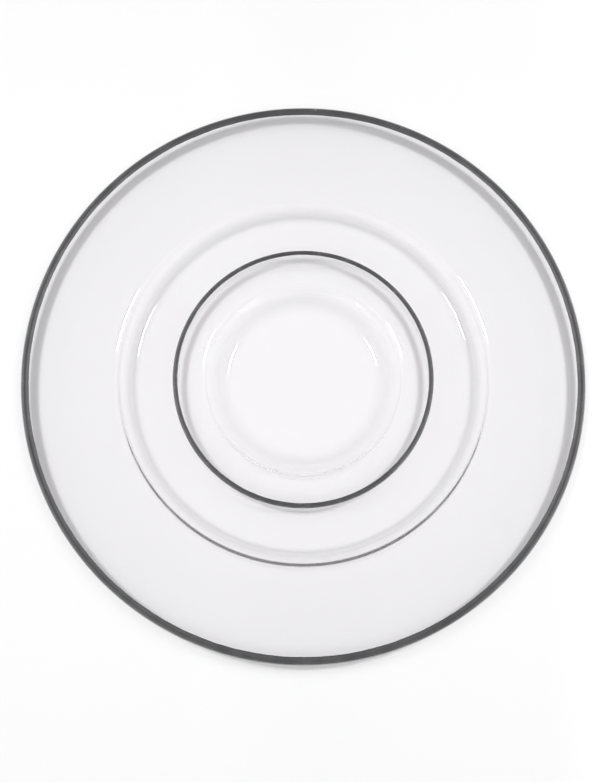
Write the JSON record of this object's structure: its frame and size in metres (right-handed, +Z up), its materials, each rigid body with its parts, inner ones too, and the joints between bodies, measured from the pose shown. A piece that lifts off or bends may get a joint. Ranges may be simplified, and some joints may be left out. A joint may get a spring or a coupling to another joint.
{
  "type": "chip and dip server",
  "caption": "Round clear-glass serving plate with a sunken well and a loose shallow dip bowl in the middle, both with a thin silver band round the rim.",
  "frame": {"origin": "centre of the charger's flat underside, on the surface that it stands on", "axes": "+Z up, along the axis that both dishes are turned about; +Y away from the person looking, +X to the right"},
  "size_m": [0.3302, 0.3302, 0.021],
  "materials": {
    "charger_glass": "clear polished sheet glass, faintly cool",
    "bowl_glass": "clear polished sheet glass",
    "rim_silver": "bright silver fired onto the rim by brush, lightly worn"
  },
  "bodies": {
    "charger": {"charger_glass": "charger_glass", "charger_silver_band": "rim_silver"},
    "dip_bowl": {"dip_bowl_glass": "bowl_glass", "dip_bowl_silver_band": "rim_silver"}
  },
  "joints": [
    {"name": "bowl_lift", "type": "slide", "parent": "charger", "child": "dip_bowl", "axis": [0, 0, 1], "range_m": [0, 0.06]}
  ]
}
